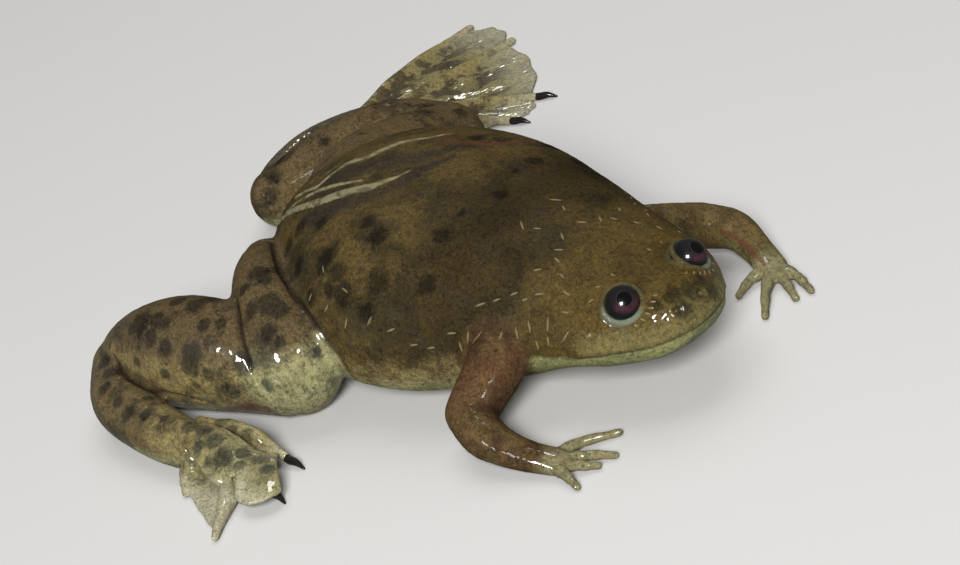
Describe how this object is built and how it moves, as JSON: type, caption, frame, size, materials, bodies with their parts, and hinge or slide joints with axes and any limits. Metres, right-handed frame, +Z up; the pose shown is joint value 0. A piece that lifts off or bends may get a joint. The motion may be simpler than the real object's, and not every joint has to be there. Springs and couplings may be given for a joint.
{
  "type": "african clawed frog",
  "caption": "Life-size crouching frog with a flat pear-shaped body, small upturned eyes, folded hind legs, webbed feet with black claws, and slender fingers.",
  "frame": {"origin": "on the floor, in the middle of the flat patch on which the belly rests", "axes": "+X towards the snout along the trunk, +Y to the frog's left, +Z up"},
  "size_m": [0.1014, 0.1086, 0.021],
  "materials": {
    "skin_back": "wet smooth olive-brown skin with dark blotches",
    "skin_throat": "wet smooth pale green-yellow skin",
    "skin_pale": "wet cream skin of digits and webs",
    "eye": "polished dark purple-black eye with a round pupil",
    "claw": "black horn"
  },
  "bodies": {
    "root": {"head": "skin_back", "lower_jaw": "skin_throat", "torso": "skin_back", "upper_arm_right": "skin_back", "upper_arm_left": "skin_back", "forearm_right": "skin_back", "forearm_left": "skin_back", "hand_right": "skin_pale", "hand_left": "skin_pale", "thigh_right": "skin_back", "thigh_left": "skin_back", "shank_right": "skin_back", "shank_left": "skin_back", "tarsus_right": "skin_back", "tarsus_left": "skin_back", "foot_right": "skin_pale", "foot_left": "skin_pale", "eye_right": "eye", "eye_left": "eye", "claw_right_1": "claw", "claw_right_2": "claw", "claw_right_3": "claw", "claw_left_1": "claw", "claw_left_2": "claw", "claw_left_3": "claw"}
  },
  "joints": []
}
